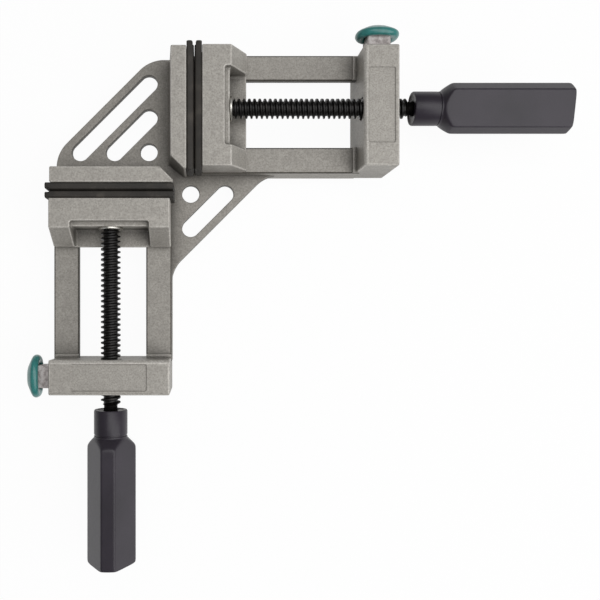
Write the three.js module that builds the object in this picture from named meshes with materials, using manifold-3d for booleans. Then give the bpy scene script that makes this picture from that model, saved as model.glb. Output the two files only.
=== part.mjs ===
// A corner clamp: two screw vices cast in one piece at a right angle, each with a quick-release button.
// Lengths are millimetres and Z is up. The part rests on Z = 0, centred under the middle of its box.
// Each vice is laid out along its own screw: X runs from the closed jaws out to the handle, Y runs
// across the vice away from the corner, and the second vice is the first one mirrored and turned.

import * as THREE from 'three';
import { mergeVertices } from 'three/addons/utils/BufferGeometryUtils.js';
import Module from 'manifold-3d';

const wasm = await Module();
wasm.setup();

// Running and seating clearances
const runningGap = 0.3;
const seatGap = 0.1;
const overrun = 1;

// The casting: heights above the bench, and the plan of one vice
const castingHeight = 40;
const railTopHeight = 17.5;
const railFlangeThickness = 4.5;
const railWidth = 15;
const railWallThickness = 3.5;
const farRailStandout = 1;
const viceWidth = 69;
const cornerSetback = 13.9;
const fixedJawThickness = 8.95;
const fixedJawCornerCut = 7.5;
const fixedJawBackDraft = 2.4;
const fixedJawNearReach = 1.7;
const fixedJawFarSetback = 0.5;
const jawTravel = 65;
const jawStopGap = 0.8;
const railBridgeLength = 7.5;

// The end block that holds the quick-release nut
const blockDepth = 20.1;
const blockWall = 3;
const panelLength = 43;
const panelFrontMargin = 2.2;
const panelBackMargin = 2.3;
const panelDepth = 0.5;

// The plate that joins the two vices, with its slots
const webTopHeight = 10.5;
const webThickness = 5;
const webEdgeOffset = 111;
const webCornerRadius = 21;
const innerEdgeOffset = 29.8;
const innerFilletRadius = 20;
const slotWidth = 10.5;
const slotPitch = 20.8;
const outerSlotInset = 27.7;
const innerSlotInset = 2.35;
const outerSlotCount = 3;
const innerSlotCount = 2;
const webOverlapSetback = 0.4;

// Jaw pads
const padThickness = 4.35;
const padContactGap = 0.3;
const padNearOverhang = 2.9;
const padFarOverhang = 2.1;
const padEdgeBevel = 0.8;
const padKeyDepth = 2;
const padKeyHeight = 6;
const padKeyCentre = 29;
const padClearOfRail = 0.5;

// The moving jaw
const jawTopDepth = 16.7;
const jawFootDepth = 26.3;
const jawSlopeFootHeight = 24;
const pocketWidth = 44.8;
const pocketFrontDepth = 12.9;
const pocketLedgeDepth = 2.9;
const pocketLedgeHeight = 3.5;
const pocketFloorClearance = 3.7;
const tongueInset = 3.6;

// The guide plate under the rails, and its screws
const guidePlateThickness = 3;
const guidePlateSideGap = 2.7;
const guideScrewRadius = 2;
const guideScrewHeadRadius = 3.6;
const guideScrewHeadHeight = 2.4;
const guideScrewDepth = 4.6;
const guideScrewSpread = 12.5;
const guideScrewSocketRadius = 1.5;
const guideScrewSocketDepth = 1.2;

// The screw spindle
const spindleHeight = 30.9;
const threadPitch = 3;
const threadOuterRadius = 6;
const threadRootRadius = 4.1;
const threadCrestWidth = 1.1;
const threadFlankWidth = 0.44;
const threadSteps = 10;
const spindleBoreGap = 0.5;
const journalRadius = 3.8;
const journalReach = 7;
const clipGrooveRadius = 3;
const clipGrooveWidth = 2.4;
const clipGrooveSetback = 3.4;
const neckLength = 2.8;
const tangLength = 30;

// The thrust washer and the forked clip that hold the spindle in the jaw
const washerRadius = 7.2;
const washerThickness = 1.3;
const clipThickness = 1.6;
const clipHalfWidth = 8;
const clipTopAboveAxis = 5;
const clipSlotHead = 1;

// The handle
const handleLength = 89.7;
const handleGap = 9.1;
const collarRadius = 9.65;
const collarLength = 16.4;
const gripFlatRadius = 10.5;
const gripEdgeRadius = 14.26;
const gripEndBevel = 1.6;
const handleSideCount = 3;
const rightHandleLeanDegrees = 12.7;
const roundSteps = 30;
const outlineSteps = 10;

// The quick-release slider, its button and its spring
const pressTravel = 3.5;
const sliderWidth = 13.3;
const sliderFloorHeight = 17.3;
const sliderTopHeight = 37.4;
const sliderSaddleClearance = 0.9;
const nutFaceSetback = 2.4;
const nutBackDepth = 17.2;
const stemStepHeight = 4;
const stemShoulderDepth = 1.5;
const stemReach = 11;
const tapSteps = 20;
const buttonReach = 13.7;
const buttonDepth = 6.9;
const buttonHalfLength = 12.6;
const buttonCrown = 2.2;
const buttonLipSetback = 2.8;
const buttonRimShare = 0.62;
const buttonLipShare = 0.82;
const buttonShoulderShare = 0.88;
const buttonCrownShare = 0.49;
const springEndWall = 6;
const springRadius = 4.5;
const springWireRadius = 0.55;
const springTurns = 6;
const springStepsPerTurn = 8;
const springWireSides = 6;

// Places worked out from the sizes above
const spindleAcross = cornerSetback + viceWidth / 2;
const viceFarSide = cornerSetback + viceWidth;
const jawFace = padContactGap / 2 + padThickness;
const fixedJawFront = -jawFace;
const fixedJawBack = fixedJawFront - fixedJawThickness;
const fixedJawFoot = fixedJawBack - fixedJawBackDraft;
const fixedJawNear = cornerSetback - fixedJawNearReach;
const fixedJawFar = viceFarSide - fixedJawFarSetback;
const padNear = cornerSetback - padNearOverhang;
const padFar = viceFarSide + padFarOverhang;
const farRailSide = viceFarSide + farRailStandout;
const jawTopBack = jawFace + jawTopDepth;
const jawFootBack = jawFace + jawFootDepth;
const blockFront = jawFootBack + jawTravel + jawStopGap;
const blockBack = blockFront + blockDepth;
const blockMiddle = (blockFront + blockBack) / 2;
const collarStart = blockBack + handleGap;
const handleEnd = collarStart + handleLength;
const buttonFace = viceFarSide + buttonReach;
const flangeBottom = railTopHeight - railFlangeThickness;
const windowNear = cornerSetback + railWidth;
const windowFar = viceFarSide + farRailStandout - railWidth;
const pocketFront = jawFace + pocketFrontDepth;
const pocketWall = pocketFront + pocketLedgeDepth;
const washerFront = pocketWall + seatGap;
const threadStart = washerFront + washerThickness + seatGap;
const threadEnd = collarStart - neckLength;
const tongueFront = jawFace + tongueInset;
const tongueBack = jawFootBack - tongueInset;
const journalFront = pocketWall - journalReach;
const grooveBack = pocketWall - clipGrooveSetback;
const grooveFront = grooveBack - clipGrooveWidth;
const clipMiddle = (grooveFront + grooveBack) / 2;
const tunnelFloor = sliderFloorHeight - runningGap;
const tunnelRoof = sliderTopHeight + runningGap;
const tunnelEnd = cornerSetback + springEndWall;
const tunnelHeight = (tunnelFloor + tunnelRoof) / 2;
const blockHollowHeight = tunnelFloor - blockWall;
const stemFloorHeight = sliderFloorHeight + stemStepHeight;
const stemTopHeight = sliderTopHeight - stemStepHeight;
const sliderSaddleHeight = spindleHeight - threadOuterRadius - sliderSaddleClearance;
const pocketFloorHeight = spindleHeight - washerRadius - pocketFloorClearance;
const guidePlateReach = railWidth - railWallThickness - guidePlateSideGap;
const webOverlap = railWallThickness - webOverlapSetback;
const nutBack = spindleAcross - nutBackDepth;
const stemEnd = viceFarSide + stemReach;
const stemShoulder = viceFarSide - stemShoulderDepth;
const buttonHeight = (sliderFloorHeight + sliderTopHeight) / 2;
const buttonHalfHeight = buttonHeight - sliderFloorHeight;
const boxMiddle = (handleEnd - buttonFace) / 2;

const straightUp = Math.PI / 2;
const vices = [
  { name: 'right', side: 1, turn: 0, gripTurn: straightUp + (rightHandleLeanDegrees * Math.PI) / 180 },
  { name: 'front', side: -1, turn: -straightUp, gripTurn: -straightUp },
];

const finishes = {
  casting: { color: 0xa39e96, roughness: 0.55, metalness: 0.45 },
  pad: { color: 0x2e2c2c, roughness: 0.75, metalness: 0 },
  blackSteel: { color: 0x242222, roughness: 0.42, metalness: 0.7 },
  brightSteel: { color: 0xc6c4be, roughness: 0.3, metalness: 1 },
  darkPlastic: { color: 0x4a464b, roughness: 0.5, metalness: 0 },
  teal: { color: 0x2f8480, roughness: 0.35, metalness: 0 },
  sliderGrey: { color: 0xc9c7c3, roughness: 0.5, metalness: 0.3 },
};

// Solids from three.js geometry, joined and cut
function closedTriangles(geometry) {
  const bare = geometry.clone();
  bare.deleteAttribute('normal');
  bare.deleteAttribute('uv');
  const merged = mergeVertices(bare);
  const corners = merged.index.array;
  const kept = [];
  for (let i = 0; i < corners.length; i += 3) {
    const [a, b, c] = corners.slice(i, i + 3);
    if (a !== b && b !== c && c !== a) kept.push(a, b, c);
  }
  return { vertices: merged.attributes.position.array, triangles: kept };
}

function solidOf(geometry) {
  const { vertices, triangles } = closedTriangles(geometry);
  const mesh = new wasm.Mesh({
    numProp: 3,
    vertProperties: Float32Array.from(vertices),
    triVerts: Uint32Array.from(triangles),
  });
  return new wasm.Manifold(mesh);
}

function geometryOf(solid) {
  const mesh = solid.getMesh();
  const geometry = new THREE.BufferGeometry();
  geometry.setAttribute('position', new THREE.BufferAttribute(mesh.vertProperties, 3));
  geometry.setIndex(new THREE.BufferAttribute(mesh.triVerts, 1));
  return geometry;
}

function join(...solids) {
  return solids.reduce((whole, next) => whole.add(next));
}

function cut(solid, ...tools) {
  return tools.reduce((rest, tool) => rest.subtract(tool), solid);
}

function turnedInsideOut(geometry) {
  const order = geometry.index.array;
  for (let i = 0; i < order.length; i += 3) [order[i], order[i + 1]] = [order[i + 1], order[i]];
  return geometry;
}

// A vice's own side of the mirror plane along its screw
function onSide(solid, side) {
  if (side > 0) return solid;
  const flipped = geometryOf(solid);
  flipped.scale(1, side, 1);
  return solidOf(turnedInsideOut(flipped));
}

function boxBetween([x0, x1], [y0, y1], [z0, z1]) {
  const box = new THREE.BoxGeometry(x1 - x0, y1 - y0, z1 - z0);
  box.translate((x0 + x1) / 2, (y0 + y1) / 2, (z0 + z1) / 2);
  return solidOf(box);
}

function outlineShape(points) {
  return new THREE.Shape(points.map(([a, b]) => new THREE.Vector2(a, b)));
}

// An outline drawn in X and Z, carried across the vice
function prismAcross(points, [y0, y1]) {
  const prism = new THREE.ExtrudeGeometry(outlineShape(points), { depth: y1 - y0, bevelEnabled: false });
  prism.rotateX(straightUp);
  prism.translate(0, y1, 0);
  return solidOf(prism);
}

// An outline drawn in Y and Z, carried along the screw
function prismAlong(points, [x0, x1]) {
  const prism = new THREE.ExtrudeGeometry(outlineShape(points), { depth: x1 - x0, bevelEnabled: false });
  const turned = new THREE.Matrix4().makeBasis(
    new THREE.Vector3(0, 1, 0), new THREE.Vector3(0, 0, 1), new THREE.Vector3(1, 0, 0));
  prism.applyMatrix4(turned);
  prism.translate(x0, 0, 0);
  return solidOf(prism);
}

function plateFrom(shape, [z0, z1]) {
  const plate = new THREE.ExtrudeGeometry(shape,
    { depth: z1 - z0, bevelEnabled: false, curveSegments: outlineSteps });
  plate.translate(0, 0, z0);
  return solidOf(plate);
}

// A turned profile of [radius, distance] pairs, its axis along X
function turnedAlong(profile, steps = roundSteps) {
  const points = profile.map(([radius, distance]) => new THREE.Vector2(radius, distance));
  const lathe = new THREE.LatheGeometry(points, steps);
  lathe.rotateZ(-straightUp);
  return solidOf(lathe);
}

function rodAlong(radius, [x0, x1], steps) {
  return turnedAlong([[0, x0], [radius, x0], [radius, x1], [0, x1]], steps);
}

function movedBy(solid, x, y, z) {
  const geometry = geometryOf(solid);
  geometry.translate(x, y, z);
  return solidOf(geometry);
}

function onSpindleAxis(solid, side) {
  return movedBy(solid, 0, side * spindleAcross, spindleHeight);
}

// A right-hand screw along X: crest centres lie at x = pitch * (angle / full turn + whole turns),
// counted from the middle of the end block, and the angle runs from Y towards Z.
function screwThread([x0, x1], rootRadius, outerRadius, crestWidth, steps) {
  const firstTurn = Math.floor((x0 - blockMiddle) / threadPitch) - 1;
  const lastTurn = Math.ceil((x1 - blockMiddle) / threadPitch) + 1;
  const rise = [
    [rootRadius, -crestWidth / 2 - threadFlankWidth],
    [outerRadius, -crestWidth / 2],
    [outerRadius, crestWidth / 2],
    [rootRadius, crestWidth / 2 + threadFlankWidth],
  ];
  const points = [];
  const columns = (lastTurn - firstTurn) * steps;
  for (let j = 0; j <= columns; j += 1) {
    const angle = (2 * Math.PI * j) / steps;
    const middle = blockMiddle + threadPitch * (firstTurn + j / steps);
    for (const [radius, offset] of rise) {
      points.push([middle + offset, radius * Math.cos(angle), radius * Math.sin(angle)]);
    }
  }
  return screwSurface(points, columns, rise.length, steps, [x0, x1]);
}

// Joins the columns of a screw into one closed skin, whose ends are closed at the axis
function screwSurface(points, columns, rows, steps, [x0, x1]) {
  const at = (j, k) => (k < rows ? j * rows + k : (j + steps) * rows);
  const triangles = [];
  const last = columns - steps;
  for (let j = 0; j < last; j += 1) {
    for (let k = 0; k < rows; k += 1) {
      triangles.push(at(j, k), at(j + 1, k), at(j + 1, k + 1));
      triangles.push(at(j, k), at(j + 1, k + 1), at(j, k + 1));
    }
  }
  const rim = (j) => {
    const loop = [];
    for (let k = 0; k <= rows; k += 1) loop.push(at(j, k));
    for (let i = steps - 1; i > 0; i -= 1) loop.push(at(j + i, 0));
    return loop;
  };
  const hub = points.length;
  points.push([points[0][0], 0, 0], [points[at(last, rows)][0], 0, 0]);
  const startRim = rim(0);
  const endRim = rim(last);
  startRim.forEach((corner, i) => {
    triangles.push(hub, corner, startRim[(i + 1) % startRim.length]);
    triangles.push(hub + 1, endRim[(i + 1) % endRim.length], endRim[i]);
  });
  const geometry = new THREE.BufferGeometry();
  geometry.setAttribute('position', new THREE.Float32BufferAttribute(points.flat(), 3));
  geometry.setIndex(triangles);
  const trim = rodAlong(2 * threadOuterRadius, [x0, x1], steps);
  return solidOf(geometry).intersect(trim);
}

// The casting

function rail([near, far], wallNear) {
  const length = [fixedJawFront - overrun, blockFront + overrun];
  const flange = boxBetween(length, [near, far], [flangeBottom, railTopHeight]);
  const wall = boxBetween(length, [wallNear, wallNear + railWallThickness], [0, railTopHeight]);
  return join(flange, wall);
}

// The fixed jaw leans out at its back, down to the bench, and its corner by the other vice is cut off
function fixedJaw() {
  const wall = prismAcross([
    [fixedJawFoot, 0],
    [fixedJawFront, 0],
    [fixedJawFront, castingHeight],
    [fixedJawBack, castingHeight],
  ], [fixedJawNear, fixedJawFar]);
  const corner = plateFrom(outlineShape([
    [fixedJawBack + fixedJawCornerCut, fixedJawNear],
    [fixedJawBack - fixedJawCornerCut, fixedJawNear + 2 * fixedJawCornerCut],
    [fixedJawBack - fixedJawCornerCut, fixedJawNear - overrun],
    [fixedJawBack + fixedJawCornerCut, fixedJawNear - overrun],
  ]), [-overrun, castingHeight + overrun]);
  return cut(wall, corner, padKeySpace(-1));
}

// The groove for a pad's key, which opens towards the other jaw
function padKeySpace(facing) {
  const mouth = facing * jawFace;
  const depth = facing * (jawFace + padKeyDepth + runningGap);
  const half = padKeyHeight / 2 + runningGap;
  const along = [Math.min(mouth - facing * overrun, depth), Math.max(mouth - facing * overrun, depth)];
  const across = [padNear - overrun, padFar + overrun];
  return boxBetween(along, across, [padKeyCentre - half, padKeyCentre + half]);
}

function endBlock() {
  const block = boxBetween([blockFront, blockBack], [cornerSetback, viceFarSide], [0, castingHeight]);
  const half = sliderWidth / 2 + runningGap;
  const tunnel = boxBetween([blockMiddle - half, blockMiddle + half], [tunnelEnd, viceFarSide + overrun],
    [tunnelFloor, tunnelRoof]);
  const bore = onSpindleAxis(rodAlong(threadOuterRadius + spindleBoreGap,
    [blockFront - overrun, blockBack + overrun], tapSteps), 1);
  const hollow = boxBetween([blockFront + blockWall, blockBack - blockWall],
    [cornerSetback + railWallThickness, viceFarSide - railWallThickness], [-overrun, blockHollowHeight]);
  const panel = boxBetween([blockFront + panelFrontMargin, blockBack - panelBackMargin],
    [spindleAcross - panelLength / 2, spindleAcross + panelLength / 2],
    [castingHeight - panelDepth, castingHeight + overrun]);
  return cut(block, tunnel, bore, hollow, panel);
}

function viceCasting() {
  const bridge = boxBetween([fixedJawFront - overrun, fixedJawFront + railBridgeLength],
    [cornerSetback, viceFarSide], [flangeBottom, railTopHeight]);
  const nearRail = rail([cornerSetback, windowNear], cornerSetback);
  const farRail = rail([windowFar, farRailSide], farRailSide - railWallThickness);
  return join(fixedJaw(), bridge, nearRail, farRail, endBlock());
}

// The slotted plate, drawn about the corner where the two closed jaw planes cross
function outerWebShape() {
  const reach = farRailSide;
  const edgeStart = webEdgeOffset - reach;
  const tangent = webCornerRadius * Math.tan(straightUp / 4);
  const inside = cornerSetback - webOverlap;
  const shape = new THREE.Shape();
  shape.moveTo(-inside, inside);
  shape.lineTo(-inside, reach);
  shape.lineTo(-edgeStart + tangent, reach);
  const high = [-edgeStart + tangent, reach - webCornerRadius];
  shape.absarc(high[0], high[1], webCornerRadius, straightUp, straightUp * 1.5, false);
  shape.absarc(-high[1], -high[0], webCornerRadius, straightUp * 1.5, straightUp * 2, false);
  shape.lineTo(-reach, inside);
  shape.closePath();
  return shape;
}

function innerWebShape() {
  const tangent = innerFilletRadius * Math.tan(straightUp / 4);
  const meet = cornerSetback + innerEdgeOffset + tangent;
  const inside = cornerSetback + webOverlap;
  const centre = [meet, cornerSetback - innerFilletRadius];
  const shape = new THREE.Shape();
  shape.moveTo(-inside, inside);
  shape.lineTo(-inside, -meet);
  shape.lineTo(-cornerSetback, -meet);
  shape.absarc(-centre[1], -centre[0], innerFilletRadius, straightUp * 2, straightUp * 1.5, true);
  shape.absarc(centre[0], centre[1], innerFilletRadius, straightUp * 1.5, straightUp, true);
  shape.lineTo(meet, inside);
  shape.closePath();
  return shape;
}

// A slot whose ends lie at a corner and step apart along both vices
function slotCutter(inset, step) {
  const band = [webTopHeight - webThickness - overrun, webTopHeight + overrun];
  const ends = [[inset, -inset + step], [inset - step, -inset]];
  const round = ends.map(([x, y]) => {
    const disc = new THREE.Shape();
    disc.absarc(x, y, slotWidth / 2, 0, 2 * Math.PI, false);
    return plateFrom(disc, band);
  });
  if (step === 0) return round[0];
  const side = slotWidth / 2 / Math.SQRT2;
  const bar = ends.flatMap(([x, y], i) => (i === 0
    ? [[x + side, y - side], [x - side, y + side]]
    : [[x - side, y + side], [x + side, y - side]]));
  return join(round[0], round[1], plateFrom(outlineShape(bar), band));
}

function webPlate() {
  const band = [webTopHeight - webThickness, webTopHeight];
  const plate = join(plateFrom(outerWebShape(), band), plateFrom(innerWebShape(), band));
  const cutters = [];
  for (let i = 0; i < outerSlotCount; i += 1) cutters.push(slotCutter(-outerSlotInset, i * slotPitch));
  for (let i = 0; i < innerSlotCount; i += 1) cutters.push(slotCutter(-innerSlotInset, -i * slotPitch));
  return cut(plate, ...cutters);
}

function frameCasting() {
  const parts = vices.map(({ side, turn }) => {
    const geometry = geometryOf(onSide(viceCasting(), side));
    geometry.rotateZ(turn);
    return solidOf(geometry);
  });
  return join(webPlate(), ...parts);
}

// Pads and the moving jaw

function jawPad(facing) {
  const face = padContactGap / 2;
  const back = jawFace - seatGap;
  const low = railTopHeight + padClearOfRail;
  const key = [padKeyCentre - padKeyHeight / 2, padKeyCentre + padKeyHeight / 2];
  const outline = [
    [face + padEdgeBevel, low],
    [back, low],
    [back, key[0]],
    [back + padKeyDepth, key[0]],
    [back + padKeyDepth, key[1]],
    [back, key[1]],
    [back, castingHeight],
    [face + padEdgeBevel, castingHeight],
    [face, castingHeight - padEdgeBevel],
    [face, low + padEdgeBevel],
  ];
  const drawn = outline.map(([x, z]) => [facing * x, z]);
  return prismAcross(drawn, [padNear, padFar]);
}

function movingJaw() {
  const foot = railTopHeight + runningGap;
  const body = prismAcross([
    [jawFace, foot],
    [jawFootBack, foot],
    [jawFootBack, jawSlopeFootHeight],
    [jawTopBack, castingHeight],
    [jawFace, castingHeight],
  ], [cornerSetback, viceFarSide]);
  const tongue = boxBetween([tongueFront, tongueBack],
    [windowNear + runningGap, windowFar - runningGap], [flangeBottom - runningGap, foot + overrun]);
  const across = [spindleAcross - pocketWidth / 2, spindleAcross + pocketWidth / 2];
  const pocket = boxBetween([pocketWall, jawFootBack + overrun], across,
    [pocketFloorHeight, castingHeight + overrun]);
  const ledge = boxBetween([pocketFront, pocketWall + overrun], across,
    [castingHeight - pocketLedgeHeight, castingHeight + overrun]);
  const journalBore = onSpindleAxis(rodAlong(journalRadius + runningGap,
    [journalFront - runningGap, pocketWall + overrun], tapSteps), 1);
  return cut(join(body, tongue), pocket, ledge, journalBore, clipSlot(), padKeySpace(1),
    ...guideScrewHoles());
}

function clipSlot() {
  const half = clipThickness / 2 + runningGap / 2;
  const side = clipHalfWidth + runningGap;
  return boxBetween([clipMiddle - half, clipMiddle + half], [spindleAcross - side, spindleAcross + side],
    [flangeBottom - overrun, spindleHeight + clipTopAboveAxis + clipSlotHead]);
}

// What holds the spindle in the jaw

function thrustWasher() {
  const inner = journalRadius + runningGap;
  return turnedAlong([
    [inner, washerFront], [washerRadius, washerFront],
    [washerRadius, washerFront + washerThickness], [inner, washerFront + washerThickness],
    [inner, washerFront],
  ]);
}

function retainingClip() {
  const low = flangeBottom;
  const slotHalf = clipGrooveRadius + runningGap;
  const top = spindleHeight + clipTopAboveAxis;
  const fork = spindleHeight - slotHalf;
  const [left, right] = [-slotHalf, slotHalf].map((offset) => spindleAcross + offset);
  const outline = [
    [spindleAcross - clipHalfWidth, low],
    [spindleAcross + clipHalfWidth, low],
    [spindleAcross + clipHalfWidth, top],
    [right, top],
    [right, fork],
    [left, fork],
    [left, top],
    [spindleAcross - clipHalfWidth, top],
  ];
  return prismAlong(outline, [clipMiddle - clipThickness / 2, clipMiddle + clipThickness / 2]);
}

// The guide plate under the rails

function guidePlateTop() {
  return flangeBottom - runningGap - seatGap;
}

function guideScrewPlaces() {
  const middle = (tongueFront + tongueBack) / 2;
  return [-1, 1].map((way) => [middle, spindleAcross + way * guideScrewSpread]);
}

function uprightRod(radius, [z0, z1], [x, y]) {
  const rod = new THREE.CylinderGeometry(radius, radius, z1 - z0, tapSteps);
  rod.rotateX(straightUp);
  rod.translate(x, y, (z0 + z1) / 2);
  return solidOf(rod);
}

function guideScrewHoles() {
  const top = guidePlateTop() + guideScrewDepth + runningGap;
  return guideScrewPlaces().map((place) => uprightRod(guideScrewRadius + runningGap,
    [flangeBottom - guidePlateThickness - 2 * overrun, top], place));
}

function guidePlate() {
  const plate = boxBetween([tongueFront, tongueBack],
    [windowNear - guidePlateReach, windowFar + guidePlateReach],
    [guidePlateTop() - guidePlateThickness, guidePlateTop()]);
  return cut(plate, ...guideScrewHoles());
}

function guideScrew(place) {
  const seat = guidePlateTop() - guidePlateThickness - seatGap;
  const foot = seat - guideScrewHeadHeight;
  const shank = uprightRod(guideScrewRadius, [seat - seatGap, guidePlateTop() + guideScrewDepth], place);
  const head = uprightRod(guideScrewHeadRadius, [foot, seat], place);
  const socket = uprightRod(guideScrewSocketRadius, [foot - overrun, foot + guideScrewSocketDepth], place);
  return cut(join(shank, head), socket);
}

// The spindle and its handle, drawn along their own axis

function spindle() {
  const thread = screwThread([threadStart, threadEnd], threadRootRadius, threadOuterRadius,
    threadCrestWidth, threadSteps);
  const tangEnd = collarStart + tangLength;
  const journal = turnedAlong([
    [0, journalFront],
    [journalRadius, journalFront],
    [journalRadius, grooveFront],
    [clipGrooveRadius, grooveFront],
    [clipGrooveRadius, grooveBack],
    [journalRadius, grooveBack],
    [journalRadius, threadStart + overrun],
    [0, threadStart + overrun],
  ], tapSteps);
  const tang = rodAlong(threadRootRadius, [threadEnd - overrun, tangEnd], threadSteps);
  return join(thread, journal, tang);
}

// A three-sided grip with its edges cut flat, inside a turned envelope
function handle() {
  const sides = [];
  const half = Math.PI / handleSideCount;
  for (let i = 0; i < 2 * handleSideCount; i += 1) {
    const [here, next] = i % 2 === 0 ? [gripFlatRadius, gripEdgeRadius] : [gripEdgeRadius, gripFlatRadius];
    const along = (next - here * Math.cos(half)) / Math.sin(half);
    const angle = i * half;
    sides.push([
      here * Math.cos(angle) - along * Math.sin(angle),
      here * Math.sin(angle) + along * Math.cos(angle),
    ]);
  }
  const collarEnd = collarStart + collarLength;
  const cornerRadius = Math.hypot(gripEdgeRadius, gripFlatRadius);
  const grip = prismAlong(sides, [collarEnd - overrun, handleEnd]);
  const envelope = turnedAlong([
    [0, collarEnd - overrun],
    [collarRadius, collarEnd - overrun],
    [collarRadius, collarEnd],
    [cornerRadius, collarEnd + cornerRadius - collarRadius],
    [cornerRadius, handleEnd - gripEndBevel - cornerRadius + gripEdgeRadius],
    [gripEdgeRadius - gripEndBevel, handleEnd],
    [0, handleEnd],
  ]);
  const collar = rodAlong(collarRadius, [collarStart, collarEnd]);
  const bore = rodAlong(threadRootRadius + runningGap, [collarStart - overrun,
    collarStart + tangLength + runningGap], threadSteps);
  return cut(join(grip.intersect(envelope), collar), bore);
}

// The quick-release slider, drawn in its vice, whose half nut bears on the far side of the screw

function sliderBody() {
  const saddleOuter = spindleAcross + threadOuterRadius + spindleBoreGap + pressTravel;
  const nutFace = spindleAcross - nutFaceSetback;
  const outline = [
    [nutBack, sliderFloorHeight],
    [stemShoulder, sliderFloorHeight],
    [stemShoulder, stemFloorHeight],
    [stemEnd, stemFloorHeight],
    [stemEnd, stemTopHeight],
    [stemShoulder, stemTopHeight],
    [stemShoulder, sliderTopHeight],
    [saddleOuter, sliderTopHeight],
    [saddleOuter, sliderSaddleHeight],
    [nutFace, sliderSaddleHeight],
    [nutFace, sliderTopHeight],
    [nutBack, sliderTopHeight],
  ];
  return prismAlong(outline, [blockMiddle - sliderWidth / 2, blockMiddle + sliderWidth / 2]);
}

function halfNutSlider(side) {
  const reach = sliderWidth / 2 + overrun;
  const tap = screwThread([blockMiddle - reach, blockMiddle + reach], threadRootRadius + runningGap,
    threadOuterRadius + runningGap, threadCrestWidth + 2 * runningGap, tapSteps);
  return cut(onSide(sliderBody(), side), onSpindleAxis(tap, side));
}

// An oval cap, domed outside, whose rim curls back towards the block
function releaseButton() {
  const rim = buttonFace - buttonDepth;
  const crown = buttonFace - buttonCrown;
  const profile = [
    [0, rim + buttonLipSetback],
    [buttonRimShare * buttonHalfLength, rim + buttonLipSetback],
    [buttonLipShare * buttonHalfLength, rim],
    [buttonHalfLength, (rim + crown) / 2],
    [buttonShoulderShare * buttonHalfLength, crown],
    [buttonCrownShare * buttonHalfLength, buttonFace],
    [0, buttonFace],
  ];
  const cap = turnedAlong(profile);
  const geometry = geometryOf(cap);
  geometry.rotateZ(straightUp);
  geometry.scale(1, 1, buttonHalfHeight / buttonHalfLength);
  geometry.translate(blockMiddle, 0, buttonHeight);
  const half = sliderWidth / 2 + seatGap;
  const socket = boxBetween([blockMiddle - half, blockMiddle + half],
    [viceFarSide, stemEnd + seatGap],
    [stemFloorHeight - seatGap, stemTopHeight + seatGap]);
  return cut(solidOf(geometry), socket);
}

// A coil spring between the blind end of the tunnel and the slider

function coilPoint(t, length) {
  const turn = 2 * Math.PI * springTurns * t;
  return new THREE.Vector3(springRadius * Math.cos(turn), length * t, springRadius * Math.sin(turn));
}

function returnSpring() {
  const low = tunnelEnd + seatGap + springWireRadius;
  const length = nutBack - seatGap - springWireRadius - low;
  const curve = new THREE.Curve();
  curve.getPoint = (t, target = new THREE.Vector3()) => target.copy(coilPoint(t, length));
  const section = new THREE.Shape();
  section.absarc(0, 0, springWireRadius, 0, 2 * Math.PI, false);
  const wire = new THREE.ExtrudeGeometry(section, {
    steps: springTurns * springStepsPerTurn,
    extrudePath: curve,
    curveSegments: springWireSides / 2,
    bevelEnabled: false,
  });
  wire.translate(blockMiddle, low, tunnelHeight);
  console.log('spring coil gap', (length / springTurns - 2 * springWireRadius).toFixed(2), 'mm');
  return solidOf(wire);
}

// The assembly

function namedMesh(name, solid, finish) {
  const geometry = geometryOf(solid).toNonIndexed();
  geometry.computeVertexNormals();
  const mesh = new THREE.Mesh(geometry, new THREE.MeshStandardMaterial(finish));
  mesh.name = name;
  return mesh;
}

function viceGroup({ name, side, turn, gripTurn }) {
  const group = new THREE.Group();
  const add = (piece, solid, finish) => group.add(namedMesh(`${name}_${piece}`, solid, finish));
  const fitted = (solid) => onSide(solid, side);
  add('moving_jaw', fitted(movingJaw()), finishes.casting);
  add('fixed_jaw_pad', fitted(jawPad(-1)), finishes.pad);
  add('moving_jaw_pad', fitted(jawPad(1)), finishes.pad);
  add('thrust_washer', onSpindleAxis(thrustWasher(), side), finishes.brightSteel);
  add('retaining_clip', fitted(retainingClip()), finishes.brightSteel);
  add('guide_plate', fitted(guidePlate()), finishes.brightSteel);
  const [innerPlace, outerPlace] = guideScrewPlaces();
  add('inner_guide_screw', fitted(guideScrew(innerPlace)), finishes.blackSteel);
  add('outer_guide_screw', fitted(guideScrew(outerPlace)), finishes.blackSteel);
  add('spindle', onSpindleAxis(spindle(), side), finishes.blackSteel);
  add('half_nut_slider', halfNutSlider(side), finishes.sliderGrey);
  add('release_button', fitted(releaseButton()), finishes.teal);
  add('return_spring', fitted(returnSpring()), finishes.brightSteel);
  const grip = namedMesh(`${name}_handle`, handle(), finishes.darkPlastic);
  grip.position.set(0, side * spindleAcross, spindleHeight);
  grip.rotation.x = gripTurn;
  group.add(grip);
  group.rotation.z = turn;
  return group;
}

const clamp = new THREE.Group();
clamp.add(namedMesh('frame_casting', frameCasting(), finishes.casting));
vices.forEach((vice) => clamp.add(viceGroup(vice)));
clamp.position.set(-boxMiddle, boxMiddle, 0);
clamp.updateMatrixWorld(true);

export default clamp;
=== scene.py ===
"""A corner clamp with two screw vices: the fine shape and the finish of every piece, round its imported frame.

Each vice has its own coordinates in millimetres: u runs out along the screw from the plane where the
pads meet, v runs across the vice away from the corner of the work, and z is the height above the bench.
"""
from contextlib import contextmanager

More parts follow.
